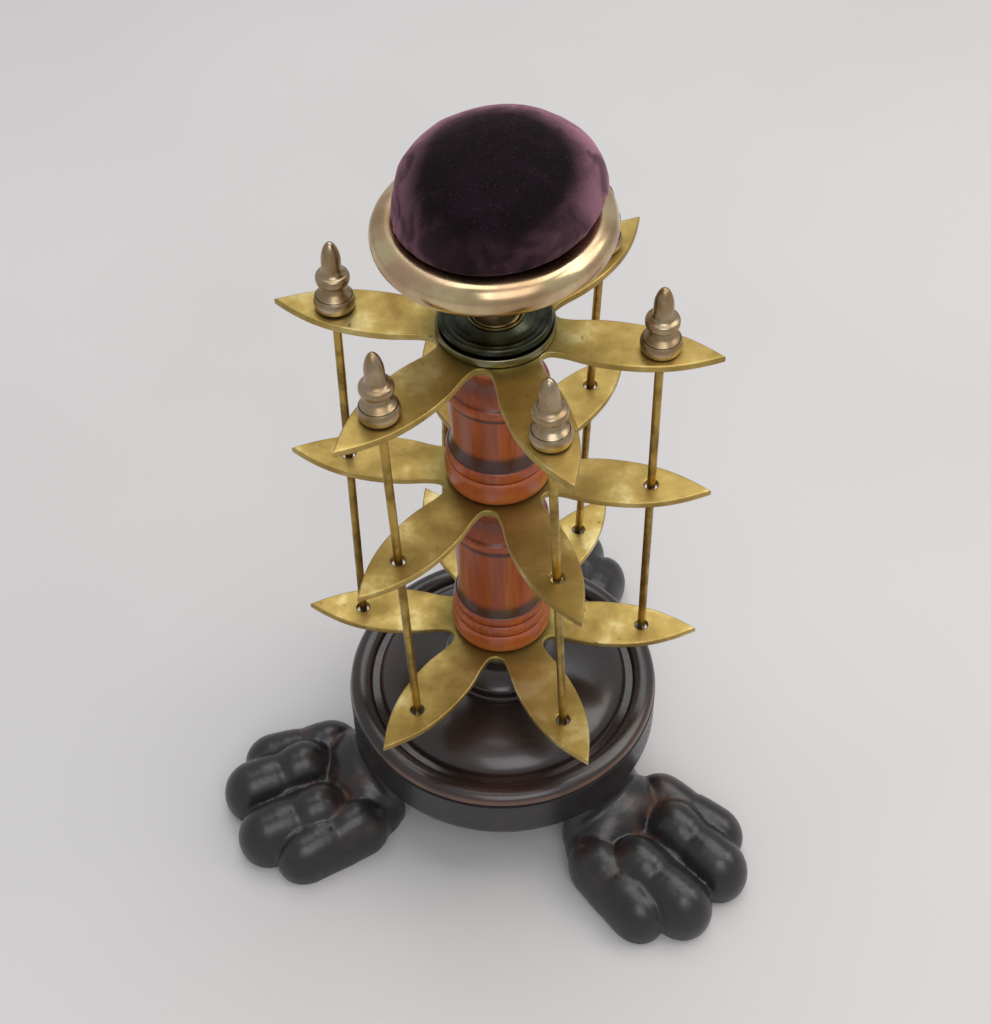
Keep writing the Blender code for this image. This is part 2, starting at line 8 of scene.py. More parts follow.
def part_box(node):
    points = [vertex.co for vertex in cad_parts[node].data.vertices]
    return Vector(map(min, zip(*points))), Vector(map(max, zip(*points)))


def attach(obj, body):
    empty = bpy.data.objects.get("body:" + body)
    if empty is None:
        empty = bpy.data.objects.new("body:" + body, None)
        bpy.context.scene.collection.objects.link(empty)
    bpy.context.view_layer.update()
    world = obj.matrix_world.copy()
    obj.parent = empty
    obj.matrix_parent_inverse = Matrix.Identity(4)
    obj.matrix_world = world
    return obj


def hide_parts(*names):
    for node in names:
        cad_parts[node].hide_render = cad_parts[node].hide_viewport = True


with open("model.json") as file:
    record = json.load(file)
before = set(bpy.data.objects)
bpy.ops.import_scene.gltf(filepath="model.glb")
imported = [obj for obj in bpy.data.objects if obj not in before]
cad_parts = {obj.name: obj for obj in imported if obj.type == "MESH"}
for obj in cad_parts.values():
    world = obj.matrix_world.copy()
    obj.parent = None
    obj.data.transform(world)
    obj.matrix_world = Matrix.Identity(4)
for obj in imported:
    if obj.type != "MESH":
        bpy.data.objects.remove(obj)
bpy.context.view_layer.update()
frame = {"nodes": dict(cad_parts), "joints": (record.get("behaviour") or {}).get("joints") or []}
mm = 0.001
weldGap = 0.002 * mm
rodBore = 2.8 * mm
turnedSmooth = 45  # degrees, as every angle named smooth

columnLow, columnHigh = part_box("column_lower")
axisX = (columnLow.x + columnHigh.x) / 2
axisY = (columnLow.y + columnHigh.y) / 2
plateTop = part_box("star_plate_top")[1].z
print("frame loaded, column axis at", round(axisX, 4), round(axisY, 4))


# small tools

def linear(hexColour):
    channels = [int(hexColour[i:i + 2], 16) / 255 for i in (1, 3, 5)]
    return [c / 12.92 if c <= 0.04045 else ((c + 0.055) / 1.055) ** 2.4 for c in channels] + [1.0]


def clearSelection():
    if bpy.context.object and bpy.context.object.mode != "OBJECT":
        bpy.ops.object.mode_set(mode="OBJECT")
    bpy.ops.object.select_all(action="DESELECT")


def pick(*pieces):
    clearSelection()
    for piece in pieces:
        piece.select_set(True)
    bpy.context.view_layer.objects.active = pieces[0]
    return pieces[0]


def applyAll(piece):
    pick(piece)
    for modifier in list(piece.modifiers):
        bpy.ops.object.modifier_apply(modifier=modifier.name)


def fixPlace(piece):
    pick(piece)
    bpy.ops.object.transform_apply(location=True, rotation=True, scale=True)


def dress(piece, material, body, slot, *nodes):
    piece.data.materials.clear()
    piece.data.materials.append(material)
    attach(piece, body)
    if nodes:
        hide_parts(*nodes)


def copyPiece(piece):
    twin = piece.copy()
    twin.data = piece.data.copy()
    bpy.context.scene.collection.objects.link(twin)
    return twin


# the materials darken hollows and lighten raised edges from this mark: rubbed wear on edges, and also painted shade
# in the column coves and a painted highlight on the iron toes; how far each point stands out of a smoothed copy is
# kept as a colour attribute, 0.5 on an even surface and 0 or 1 at the given depth
def markWearAndPaintedLight(piece, depth, rounds=12):
    smoothed = copyPiece(piece)
    even = smoothed.modifiers.new("even", "SMOOTH")
    even.factor = 0.5
    even.iterations = rounds
    applyAll(smoothed)
    marks = piece.data.color_attributes.new("wearAndPaintedLight", "FLOAT_COLOR", "POINT")
    for vertex, low, mark in zip(piece.data.vertices, smoothed.data.vertices, marks.data):
        level = 0.5 + (vertex.co - low.co).dot(vertex.normal) / (2 * depth)
        level = min(1, max(0, level))
        mark.color = (level, level, level, 1)
    bpy.data.objects.remove(smoothed, do_unlink=True)


# outlines run from the top of a turned piece to its foot, as (radius, height)

def arcPoints(centre, radius, start, end, steps):
    angles = [math.radians(start + (end - start) * i / steps) for i in range(steps + 1)]
    return [(centre[0] + radius * math.cos(a), centre[1] + radius * math.sin(a)) for a in angles]


def curvePoints(first, firstPull, secondPull, second, steps):
    points = []
    for i in range(steps + 1):
        t = i / steps
        weights = ((1 - t) ** 3, 3 * t * (1 - t) ** 2, 3 * t * t * (1 - t), t ** 3)
        corners = (first, firstPull, secondPull, second)
        points.append(tuple(sum(w * c[k] for w, c in zip(weights, corners)) for k in (0, 1)))
    return points


def beadPoints(radius, depth, top, foot, steps=8):
    points = []
    for i in range(steps + 1):
        angle = math.pi * (0.5 - i / steps)
        height = (top + foot) / 2 + (top - foot) / 2 * math.sin(angle)
        points.append((radius - depth + depth * math.cos(angle), height))
    return points


def covePoints(upper, lower, depth, steps=12):
    points = []
    for i in range(1, steps):
        t = i / steps
        radius = upper[0] + (lower[0] - upper[0]) * t - depth * math.sin(math.pi * t)
        points.append((radius, upper[1] + (lower[1] - upper[1]) * t))
    return points


# joins doubled corners of the piece in edit mode and shades it smooth up to an angle
def closeSkin(smoothAngle):
    bpy.ops.mesh.select_all(action="SELECT")
    bpy.ops.mesh.remove_doubles(threshold=weldGap)
    bpy.ops.mesh.normals_make_consistent(inside=False)
    bpy.ops.object.mode_set(mode="OBJECT")
    bpy.ops.object.shade_smooth_by_angle(angle=math.radians(smoothAngle))


# draws the outline point by point and spins it round an upright axis
def turnPiece(name, outline, steps, centre):
    clearSelection()
    bpy.ops.mesh.primitive_plane_add(size=mm)
    piece = bpy.context.object
    piece.name = name
    bpy.ops.object.mode_set(mode="EDIT")
    bpy.ops.mesh.select_all(action="SELECT")
    bpy.ops.mesh.merge(type="CENTER")
    spot = Vector((0, 0, 0))
    for number, (radius, height) in enumerate(outline):
        goal = Vector((centre[0] + radius, centre[1], height))
        if number == 0:
            bpy.ops.transform.translate(value=goal - spot)
        else:
            bpy.ops.mesh.extrude_region_move(TRANSFORM_OT_translate={"value": goal - spot})
        spot = goal
    bpy.ops.mesh.select_all(action="SELECT")
    bpy.ops.mesh.spin(steps=steps, angle=2 * math.pi, center=(centre[0], centre[1], 0), axis=(0, 0, 1))
    closeSkin(turnedSmooth)
    return piece


def columnPiece(name, outline, steps=96):
    return turnPiece(name, outline, steps, (axisX, axisY))


# materials: patterns finer than about half a millimetre, such as pile, pores, scratches and casting sand, are drawn
# coarser than they are so that they show

def addNode(tree, kind, inputs=None, **settings):
    node = tree.nodes.new(kind)
    for name, value in settings.items():
        setattr(node, name, value)
    for socket, value in (inputs or {}).items():
        if isinstance(value, bpy.types.NodeSocket):
            tree.links.new(value, node.inputs[socket])
        else:
            node.inputs[socket].default_value = value
    return node


def startMaterial(name, **sockets):
    material = bpy.data.materials.new(name)
    material.use_nodes = True
    tree = material.node_tree
    shader = tree.nodes["Principled BSDF"]
    for socket, value in sockets.items():
        shader.inputs[socket.replace("_", " ")].default_value = value
    place = addNode(tree, "ShaderNodeTexCoord").outputs["Object"]
    return material, tree, shader, place


# how far several patterns meet: each one runs between two levels and gives two shares, and these are multiplied
def meet(tree, patterns, levels):
    amount = 1.0
    for pattern, (start, full, low, high) in zip(patterns, levels):
        share = addNode(tree, "ShaderNodeMapRange", {0: pattern, 1: start, 2: full, 3: low, 4: high},
                        interpolation_type="SMOOTHSTEP").outputs[0]
        amount = addNode(tree, "ShaderNodeMath", {0: amount, 1: share}, operation="MULTIPLY").outputs[0]
    return amount


# lays tints over a ground colour: a tint is a colour with the levels of each pattern that it follows
def layTints(tree, shader, ground, *layers):
    colour = linear(ground)
    for (tone, *levels), *patterns in layers:
        inputs = {0: meet(tree, patterns, levels), 6: colour, 7: linear(tone)}
        colour = addNode(tree, "ShaderNodeMix", inputs, data_type="RGBA").outputs[2]
    tree.links.new(colour, shader.inputs["Base Color"])


# how far a point lies from the column's axis, or from a line beside it
def axisDistance(tree, place, aside=(0, 0)):
    centre = (-axisX - aside[0], -axisY - aside[1], 0)
    offset = addNode(tree, "ShaderNodeVectorMath", {0: place, 1: centre}, operation="ADD").outputs[0]
    flat = addNode(tree, "ShaderNodeVectorMath", {0: offset, 1: (1, 1, 0)}, operation="MULTIPLY").outputs[0]
    return addNode(tree, "ShaderNodeVectorMath", {0: flat}, operation="LENGTH").outputs["Value"]


# rolled sheet brass, rubbed to a satin: brown tarnish in patches, pin-sized dark spots, a dull hub
satinBrass = {
    "colour": "#b59b59", "tarnish": ("#977d43", (0.40, 0.66, 0.0, 1.0)), "pale": ("#d2c188", (0.46, 0.30, 0.0, 1.0)),
    "spot": ("#604c22", (0.69, 0.75, 0.0, 0.7)), "hub": ("#77733f", (22 * mm, 13 * mm, 0.0, 0.6)),
    "roughness": (0.3, 0.7, 0.36, 0.50), "patch": 14 * mm, "spotSize": 2.2 * mm, "scratch": 0.5 * mm,
    "scratchTurn": (0, 0, 0.4), "scratchStretch": (0.08, 1.0, 1.0),
}


def makeSatinBrass():
    look = satinBrass
    material, tree, shader, place = startMaterial("rolled satin brass", Metallic=1.0)
    patch = addNode(tree, "ShaderNodeTexNoise", {"Vector": place, "Scale": 1 / look["patch"], "Detail": 5.0,
                                                 "Roughness": 0.6}).outputs[0]
    fine = addNode(tree, "ShaderNodeTexNoise", {"Vector": place, "Scale": 1 / look["spotSize"],
                                                "Detail": 3.0}).outputs[0]
    stretched = addNode(tree, "ShaderNodeMapping", {"Vector": place, "Rotation": look["scratchTurn"],
                                                    "Scale": look["scratchStretch"]}).outputs[0]
    scratch = addNode(tree, "ShaderNodeTexNoise", {"Vector": stretched, "Scale": 1 / look["scratch"],
                                                   "Detail": 2.0}).outputs[0]
    layTints(tree, shader, look["colour"], (look["tarnish"], patch), (look["pale"], patch), (look["spot"], fine),
             (look["hub"], axisDistance(tree, place)))
    tree.links.new(meet(tree, [patch], [look["roughness"]]), shader.inputs["Roughness"])
    bump = addNode(tree, "ShaderNodeBump", {"Strength": 0.06, "Distance": 0.1 * mm, "Height": scratch}).outputs[0]
    tree.links.new(bump, shader.inputs["Normal"])
    return material


# spun brass, long polished: smooth with brown and rosy tints where lacquer has gone
spunBrass = {
    "colour": "#d2be94", "rosy": ("#bf9f80", (0.42, 0.62, 0.0, 1.0)), "brown": ("#a0855c", (0.52, 0.68, 0.0, 0.7)),
    "hollowDark": ("#3d2f1b", (0.36, 0.15, 0.0, 0.8)), "roughness": (0.3, 0.7, 0.16, 0.30), "patch": 11 * mm,
    "cloud": 27.5 * mm, "ring": 0.9 * mm, "ringStretch": (0.02, 0.02, 1.0),
}


def makeSpunBrass():
    look = spunBrass
    material, tree, shader, place = startMaterial("spun polished brass", Metallic=1.0)
    patch = addNode(tree, "ShaderNodeTexNoise", {"Vector": place, "Scale": 1 / look["patch"],
                                                 "Detail": 4.0}).outputs[0]
    cloud = addNode(tree, "ShaderNodeTexNoise", {"Vector": place, "Scale": 1 / look["cloud"], "Detail": 3.0,
                                                 "Distortion": 0.5}).outputs[0]
    flat = addNode(tree, "ShaderNodeMapping", {"Vector": place, "Scale": look["ringStretch"]}).outputs[0]
    ring = addNode(tree, "ShaderNodeTexNoise", {"Vector": flat, "Scale": 1 / look["ring"], "Detail": 2.0}).outputs[0]
    wearAndPaintedLight = addNode(tree, "ShaderNodeAttribute", attribute_name="wearAndPaintedLight").outputs["Fac"]
    layTints(tree, shader, look["colour"], (look["rosy"], patch), (look["brown"], cloud), (look["hollowDark"], wearAndPaintedLight))
    tree.links.new(meet(tree, [patch], [look["roughness"]]), shader.inputs["Roughness"])
    bump = addNode(tree, "ShaderNodeBump", {"Strength": 0.05, "Distance": 0.1 * mm, "Height": ring}).outputs[0]
    tree.links.new(bump, shader.inputs["Normal"])
    return material


# turned brass that has gone green-black, rubbed back to metal along its beads
darkBrass = {"colour": "#30332b", "green": ("#484d3f", (0.4, 0.65, 0.0, 1.0)),
             "bright": ("#a39b76", (0.74, 1.0, 0.0, 0.55)), "patch": 6 * mm}


def makeDarkBrass():
    look = darkBrass
    material, tree, shader, place = startMaterial("patinated turned brass", Metallic=1.0, Roughness=0.3)
    patch = addNode(tree, "ShaderNodeTexNoise", {"Vector": place, "Scale": 1 / look["patch"],
                                                 "Detail": 4.0}).outputs[0]
    wearAndPaintedLight = addNode(tree, "ShaderNodeAttribute", attribute_name="wearAndPaintedLight").outputs["Fac"]
    layTints(tree, shader, look["colour"], (look["green"], patch), (look["bright"], wearAndPaintedLight))
    return material


# cast and turned brass gone dull and brownish, darker in every groove
dullBrass = {
    "colour": "#a8957a", "warm": ("#98805e", (0.4, 0.62, 0.0, 1.0)), "hollowDark": ("#4a3c2b", (0.42, 0.18, 0.0, 1.0)),
    "bright": ("#c9bb9d", (0.62, 0.92, 0.0, 0.7)), "roughness": (0.3, 0.7, 0.26, 0.40), "patch": 5 * mm,
}


def makeDullBrass():
    look = dullBrass
    material, tree, shader, place = startMaterial("dull turned brass", Metallic=1.0)
    patch = addNode(tree, "ShaderNodeTexNoise", {"Vector": place, "Scale": 1 / look["patch"],
                                                 "Detail": 5.0}).outputs[0]
    wearAndPaintedLight = addNode(tree, "ShaderNodeAttribute", attribute_name="wearAndPaintedLight").outputs["Fac"]
    layTints(tree, shader, look["colour"], (look["warm"], patch), (look["hollowDark"], wearAndPaintedLight), (look["bright"], wearAndPaintedLight))
    tree.links.new(meet(tree, [patch], [look["roughness"]]), shader.inputs["Roughness"])
    return material


# drawn brass wire, browned where hands and reels have rubbed it
wireBrass = {"colour": "#b2954f", "brown": ("#7d6534", (0.38, 0.66, 0.0, 1.0)), "roughness": (0.3, 0.7, 0.25, 0.45),
             "streak": 9 * mm}


def makeWireBrass():
    look = wireBrass
    material, tree, shader, place = startMaterial("drawn brass wire", Metallic=1.0)
    streak = addNode(tree, "ShaderNodeTexNoise", {"Vector": place, "Scale": 1 / look["streak"], "Detail": 5.0,
                                                  "Roughness": 0.65}).outputs[0]
    layTints(tree, shader, look["colour"], (look["brown"], streak))
    tree.links.new(meet(tree, [streak], [look["roughness"]]), shader.inputs["Roughness"])
    return material


# turned and varnished mahogany: upright grain, red-brown, dark in the coves, partly painted shade and partly varnish
# and dust lying there
mahogany = {
    "light": "#a24b1a", "grain": ("#742d10", (0.35, 0.70, 0.0, 0.6)), "broad": ("#742d10", (0.42, 0.66, 0.0, 0.5)),
    # the hollow tint is partly painted shade in the coves under beads and plates, partly varnish and dust
    "hollowDark": ("#2a120b", (0.50, 0.24, 0.0, 0.9)), "worn": ("#c06c38", (0.76, 0.98, 0.0, 0.4)),
    "grainAcross": 0.9 * mm, "broadAcross": 7.5 * mm, "grainAlong": 16 * mm,
}


def makeMahogany():
    look = mahogany
    material, tree, shader, place = startMaterial("varnished turned mahogany", Roughness=0.34, IOR=1.5,
                                                  Coat_Weight=0.15, Coat_Roughness=0.15)
    stretch = (1.0, 1.0, look["grainAcross"] / look["grainAlong"])
    upright = addNode(tree, "ShaderNodeMapping", {"Vector": place, "Scale": stretch}).outputs[0]
    grain = addNode(tree, "ShaderNodeTexNoise", {"Vector": upright, "Scale": 1 / look["grainAcross"], "Detail": 4.0,
                                                 "Distortion": 0.4}).outputs[0]
    broad = addNode(tree, "ShaderNodeTexNoise", {"Vector": upright, "Scale": 1 / look["broadAcross"],
                                                 "Detail": 3.0}).outputs[0]
    wearAndPaintedLight = addNode(tree, "ShaderNodeAttribute", attribute_name="wearAndPaintedLight").outputs["Fac"]
    # coves darkened: partly painted shade, partly varnish and dust
    layTints(tree, shader, look["light"], (look["grain"], grain), (look["broad"], broad), (look["hollowDark"], wearAndPaintedLight),
             (look["worn"], wearAndPaintedLight))
    bump = addNode(tree, "ShaderNodeBump", {"Strength": 0.12, "Distance": 0.1 * mm, "Height": grain}).outputs[0]
    tree.links.new(bump, shader.inputs["Normal"])
    return material


# ebonised hardwood under old varnish: near black, brown along rubbed edges, a few fine scratches
blackWood = {
    "colour": "#211715", "brown": ("#32211b", (0.42, 0.66, 0.0, 1.0)),
    "worn": ("#5c3f30", (0.64, 0.90, 0.0, 1.0), (0.35, 0.55, 0.0, 1.0)), "roughness": (0.3, 0.7, 0.27, 0.33),
    "patch": 30 * mm, "grain": 1.2 * mm, "grainStretch": (0.08, 1.0, 1.0),
}


def makeBlackWood():
    look = blackWood
    material, tree, shader, place = startMaterial("ebonised turned wood", IOR=1.5, Coat_Weight=0.3,
                                                  Coat_Roughness=0.15)
    patch = addNode(tree, "ShaderNodeTexNoise", {"Vector": place, "Scale": 1 / look["patch"],
                                                 "Detail": 4.0}).outputs[0]
    along = addNode(tree, "ShaderNodeMapping", {"Vector": place, "Scale": look["grainStretch"]}).outputs[0]
    grain = addNode(tree, "ShaderNodeTexNoise", {"Vector": along, "Scale": 1 / look["grain"],
                                                 "Detail": 3.0}).outputs[0]
    wearAndPaintedLight = addNode(tree, "ShaderNodeAttribute", attribute_name="wearAndPaintedLight").outputs["Fac"]
    layTints(tree, shader, look["colour"], (look["brown"], patch), (look["worn"], wearAndPaintedLight, patch))
    tree.links.new(meet(tree, [grain], [look["roughness"]]), shader.inputs["Roughness"])
    bump = addNode(tree, "ShaderNodeBump", {"Strength": 0.03, "Distance": 0.1 * mm, "Height": grain}).outputs[0]
    tree.links.new(bump, shader.inputs["Normal"])
    return material


# blacked cast iron: a sand-cast skin rubbed smooth and lighter on the high places, part of that lightness a painted
# highlight on the toe crests, rust in the hollows behind the toes
castIron = {
    # the rubbed tint on the high places is partly a painted highlight on the toe crests
    "colour": "#211f20", "rubbedAndHighlight": ("#474447", (0.58, 0.9, 0.0, 0.8)), "dust": ("#3c3029", (0.55, 0.72, 0.0, 0.35)),
    "rust": ("#4c3123", (44 * mm, 50 * mm, 0.0, 1.0), (66 * mm, 58 * mm, 0.0, 1.0), (8 * mm, 13 * mm, 0.0, 1.0),
             (0.64, 0.34, 0.2, 0.7), (0.44, 0.60, 0.0, 1.0)),
    "roughness": (0.3, 0.7, 0.27, 0.38), "skin": 1.3 * mm, "patch": 7 * mm,
}


def makeCastIron():
    look = castIron
    material, tree, shader, place = startMaterial("blacked cast iron", IOR=1.5)
    skin = addNode(tree, "ShaderNodeTexNoise", {"Vector": place, "Scale": 1 / look["skin"], "Detail": 4.0}).outputs[0]
    patch = addNode(tree, "ShaderNodeTexNoise", {"Vector": place, "Scale": 1 / look["patch"],
                                                 "Detail": 5.0}).outputs[0]
    wearAndPaintedLight = addNode(tree, "ShaderNodeAttribute", attribute_name="wearAndPaintedLight").outputs["Fac"]
    reach = axisDistance(tree, place)
    height = addNode(tree, "ShaderNodeSeparateXYZ", {0: place}).outputs["Z"]
    rusty = (reach, reach, height, wearAndPaintedLight, patch)
    # lighter crests: rubbed iron, partly a painted highlight
    layTints(tree, shader, look["colour"], (look["rubbedAndHighlight"], wearAndPaintedLight), (look["dust"], patch), (look["rust"], *rusty))
    rough = addNode(tree, "ShaderNodeMath", {0: meet(tree, [skin], [look["roughness"]]),
                                             1: meet(tree, rusty, look["rust"][1:])}, operation="MAXIMUM").outputs[0]
    tree.links.new(rough, shader.inputs["Roughness"])
    bump = addNode(tree, "ShaderNodeBump", {"Strength": 0.12, "Distance": 0.2 * mm, "Height": skin}).outputs[0]
    tree.links.new(bump, shader.inputs["Normal"])
    return material


# silk velvet: a deep upright pile, near black on top, with a painted mauve sheen towards its sides
velvetCloth = {
    "deep": "#0f090c", "plum": ("#180d13", (0.42, 0.70, 0.0, 1.0)),
    # painted sheen: mauve laid on towards the pad's sides, where velvet glows in grazing light, broken up by the
    # brush noise
    "paintedSheen": ("#9c6f7d", (15 * mm, 28 * mm, 0.0, 1.0), (0.34, 0.62, 0.3, 1.0)),
    "tips": ("#9c6f7d", (0.60, 0.9, 0.0, 0.2)), "lint": ("#7d646a", (0.78, 0.90, 0.0, 0.5)), "sheen": "#c795a8",
    "brushAndSheen": 8 * mm, "pile": 0.5 * mm, "lintSize": 1.5 * mm, "sheenShift": (0.5 * mm, -6 * mm),
}


def makeVelvet():
    look = velvetCloth
    material, tree, shader, place = startMaterial("silk pile velvet", Roughness=0.95, Sheen_Weight=0.4,
                                                  Sheen_Roughness=0.28, Sheen_Tint=linear(look["sheen"]),
                                                  Specular_IOR_Level=0.1)
    brushAndSheen = addNode(tree, "ShaderNodeTexNoise", {"Vector": place, "Scale": 1 / look["brushAndSheen"], "Detail": 4.0,
                                                 "Distortion": 0.8}).outputs[0]
    pile = addNode(tree, "ShaderNodeTexNoise", {"Vector": place, "Scale": 1 / look["pile"], "Detail": 2.0}).outputs[0]
    lint = addNode(tree, "ShaderNodeTexNoise", {"Vector": place, "Scale": 1 / look["lintSize"],
                                                "Detail": 2.0}).outputs[0]
    # painted sheen mask: the distance from a line set a little behind the column's axis
    sheenReach = axisDistance(tree, place, look["sheenShift"])
    layTints(tree, shader, look["deep"], (look["plum"], brushAndSheen), (look["paintedSheen"], sheenReach, brushAndSheen),
             (look["tips"], pile), (look["lint"], lint))
    bump = addNode(tree, "ShaderNodeBump", {"Strength": 0.6, "Distance": 0.3 * mm, "Height": pile}).outputs[0]
    tree.links.new(bump, shader.inputs["Normal"])
    return material


# hidden stuff: carded wool, pasteboard, and plain iron rod with its nuts
woolLook = ("carded wool", "#c4bba9", "#8f8674", 0.95, 0.0, 1.5 * mm)
hiddenLooks = {
    "cushion_board": ("grey pasteboard", "#a18d75", "#7c6b57", 0.9, 0.0, 2.0 * mm),
    "tie_rod": ("drawn iron rod", "#6b6762", "#4c3a2c", 0.45, 1.0, 3.0 * mm),
    "dish_nut": ("forged iron nut", "#66625d", "#4a382a", 0.5, 1.0, 2.0 * mm),
    "base_washer": ("stamped iron washer", "#66625d", "#573c28", 0.5, 1.0, 2.5 * mm),
    "base_nut": ("forged iron nut", "#605c58", "#523a28", 0.5, 1.0, 2.0 * mm),
}
plainLevels = (0.38, 0.66, 0.0, 1.0)


def makePlain(name, light, dark, rough, metal, size):
    material, tree, shader, place = startMaterial(name, Roughness=rough, Metallic=metal)
    patch = addNode(tree, "ShaderNodeTexNoise", {"Vector": place, "Scale": 1 / size, "Detail": 4.0}).outputs[0]
    layTints(tree, shader, light, ((dark, plainLevels), patch))
    return material


def dressHidden():
    for node, look in hiddenLooks.items():
        piece = frame["nodes"][node]
        piece.data.materials.clear()
        piece.data.materials.append(makePlain(*look))


# pieces

columnLook = {
    "lowerBeads": (6.3 * mm, 3.8 * mm, 3.5 * mm), "upperBeads": (7.3 * mm, 3.8 * mm),
    "footRadius": 13.9 * mm, "beadStep": 0.45 * mm, "beadDepth": 0.8 * mm,
    "waistRadius": 11.8 * mm, "waistRise": 2.6 * mm, "lipRadius": 13.3 * mm, "lipHeight": 3.0 * mm,
    "coveRadius": 10.3 * mm, "coveHeight": 10.6 * mm, "ringRadius": 12.9 * mm, "ringHeight": 3.6 * mm,
    "bore": rodBore, "wearAndLightDepth": 0.5 * mm, "wearAndLightRounds": 30,
}


def columnOutline(low, high, beads):
    look = columnLook
    ringFoot = high - look["ringHeight"]
    lipTop = ringFoot - look["coveHeight"]
    lipFoot = lipTop - look["lipHeight"]
    beadsTop = low + sum(beads)
    ring = beadPoints(look["ringRadius"], look["beadDepth"], high, ringFoot)
    lip = beadPoints(look["lipRadius"], look["beadDepth"], lipTop, lipFoot)
    cove = covePoints(ring[-1], lip[0], (ring[-1][0] + lip[0][0]) / 2 - look["coveRadius"])
    waist = (look["waistRadius"], beadsTop + look["waistRise"])
    span = lipFoot - waist[1]
    barrel = curvePoints(lip[-1], (lip[-1][0], lipFoot - 0.45 * span), (waist[0], waist[1] + 0.35 * span),
                         waist, 14)[1:]
    mouldings = []
    top = beadsTop
    for i in reversed(range(len(beads))):
        radius = look["footRadius"] - i * look["beadStep"]
        mouldings += beadPoints(radius, look["beadDepth"], top, top - beads[i])
        top -= beads[i]
    bore = [(look["bore"], low), (look["bore"], high), ring[0]]
    return ring + cove + lip + barrel + mouldings + bore


def makeColumns(wood):
    for name, node, beads in (("turnedColumnLower", "column_lower", "lowerBeads"),
                              ("turnedColumnUpper", "column_upper", "upperBeads")):
        low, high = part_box(node)
        piece = columnPiece(name, columnOutline(low.z, high.z, columnLook[beads]))
        markWearAndPaintedLight(piece, columnLook["wearAndLightDepth"], columnLook["wearAndLightRounds"])
        dress(piece, wood, "stand", "mahogany", node)


plinthLook = {
    "radius": 45.0 * mm, "rimHeight": 3.9 * mm, "rimWidth": 6.6 * mm, "grooveDepth": 2.4 * mm,
    "grooveWidth": 2.0 * mm, "domeRise": 9.0 * mm, "domeCrown": 17.0 * mm, "beadHeight": 2.2 * mm,
    "neckRadius": 12.4 * mm, "headRadius": 14.2 * mm, "headHeight": 3.0 * mm, "headDepth": 1.0 * mm,
    "bore": rodBore, "steps": 160, "wearAndLightDepth": 0.5 * mm,
}


def makePlinth(wood):
    look = plinthLook
    low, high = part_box("plinth")
    foot, top = low.z, high.z
    groove = look["radius"] - look["rimWidth"]
    domeFoot = foot + look["rimHeight"] - look["grooveDepth"]
    domeTop = domeFoot + look["domeRise"]
    head = beadPoints(look["headRadius"], look["headDepth"], top, top - look["headHeight"])
    step = look["beadHeight"] / 2
    ringOne = beadPoints(look["domeCrown"] - step, step / 2, domeTop + 4 * step, domeTop + 2 * step)
    ringTwo = beadPoints(look["domeCrown"], step / 2, domeTop + 2 * step, domeTop)
    neck = covePoints(head[-1], ringOne[0], (head[-1][0] + ringOne[0][0]) / 2 - look["neckRadius"])
    edge = (groove - look["grooveWidth"], domeFoot)
    flat = ((look["domeCrown"] + edge[0]) / 2, domeTop - 0.15 * look["domeRise"])
    dome = curvePoints(ringTwo[-1], flat, (edge[0], domeFoot + 0.5 * look["domeRise"]), edge, 18)[1:]
    rim = curvePoints((groove, domeFoot), (groove + 0.1 * look["rimWidth"], foot + look["rimHeight"] * 1.2),
                      (look["radius"], foot + look["rimHeight"] * 1.1),
                      (look["radius"], foot + 0.2 * look["rimHeight"]), 14)
    under = [(look["radius"] - 0.1 * look["rimWidth"], foot), (look["bore"], foot), (look["bore"], top), head[0]]
    outline = head + neck + ringOne + ringTwo[1:] + dome + rim + under
    piece = columnPiece("turnedPlinth", outline, look["steps"])
    markWearAndPaintedLight(piece, look["wearAndLightDepth"])
    dress(piece, wood, "stand", "ebonised_wood", "plinth")


collarLook = {"radius": 14.55 * mm, "flange": 1.9 * mm, "bead": 2.4 * mm, "beadDepth": 0.8 * mm, "hollow": 1.4 * mm,
              "socketDepth": 2.0 * mm, "socketLip": 0.6 * mm, "socketRadius": 6.5 * mm, "bore": rodBore,
              "edge": 0.25 * mm, "wearAndLightDepth": 0.4 * mm}


def makeCollar(brass):
    look = collarLook
    low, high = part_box("collar")
    foot, top = low.z, high.z
    beadTop = foot + look["flange"] + look["bead"]
    ring = look["socketRadius"] + look["socketLip"]
    rim = beadPoints(look["radius"] - look["beadDepth"], look["beadDepth"], beadTop, foot + look["flange"], 10)
    inner = (rim[0][0] - look["beadDepth"], beadTop)
    dip = ((ring + inner[0]) / 2, beadTop - 1.3 * look["hollow"])
    hollow = curvePoints((ring, beadTop), dip, dip, inner, 10)
    floor = top - look["socketDepth"]
    edge = look["edge"]
    socket = [(look["bore"], floor), (look["socketRadius"], floor), (look["socketRadius"], top), (ring, top)]
    flange = [(look["radius"] - edge, foot + look["flange"]), (look["radius"], foot + look["flange"] - edge)]
    flange += [(look["radius"], foot), (look["bore"], foot), socket[0]]
    piece = columnPiece("turnedCollar", socket + hollow + rim + flange)
    markWearAndPaintedLight(piece, look["wearAndLightDepth"])
    dress(piece, brass, "stand", "dark_brass", "collar")


dishLook = {
    "footRadius": 6.2 * mm, "footHeight": 2.4 * mm, "neckRadius": 4.9 * mm, "neckHeight": 7.6 * mm,
    "floorHeight": 15.4 * mm, "rimHeight": 27.1 * mm, "rimRadius": 24.1 * mm, "rimRoll": 4.4 * mm,
    "wall": 2.0 * mm, "bore": rodBore, "tilt": math.radians(3.2), "bend": (2.6 * mm, 15.0 * mm),
    "rollFrom": 170, "rollTo": -110, "rollSteps": 44, "steps": 160, "wearAndLightDepth": 1.0 * mm,
}


# the neck is a little bent, so the rim stands higher on one side
rimPivot = Vector((axisX, axisY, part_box("cushion_dish")[0].z + dishLook["rimHeight"]))


def tiltSpot(spot, share):
    return rimPivot + Matrix.Rotation(-share * dishLook["tilt"], 3, "Y") @ (spot - rimPivot)


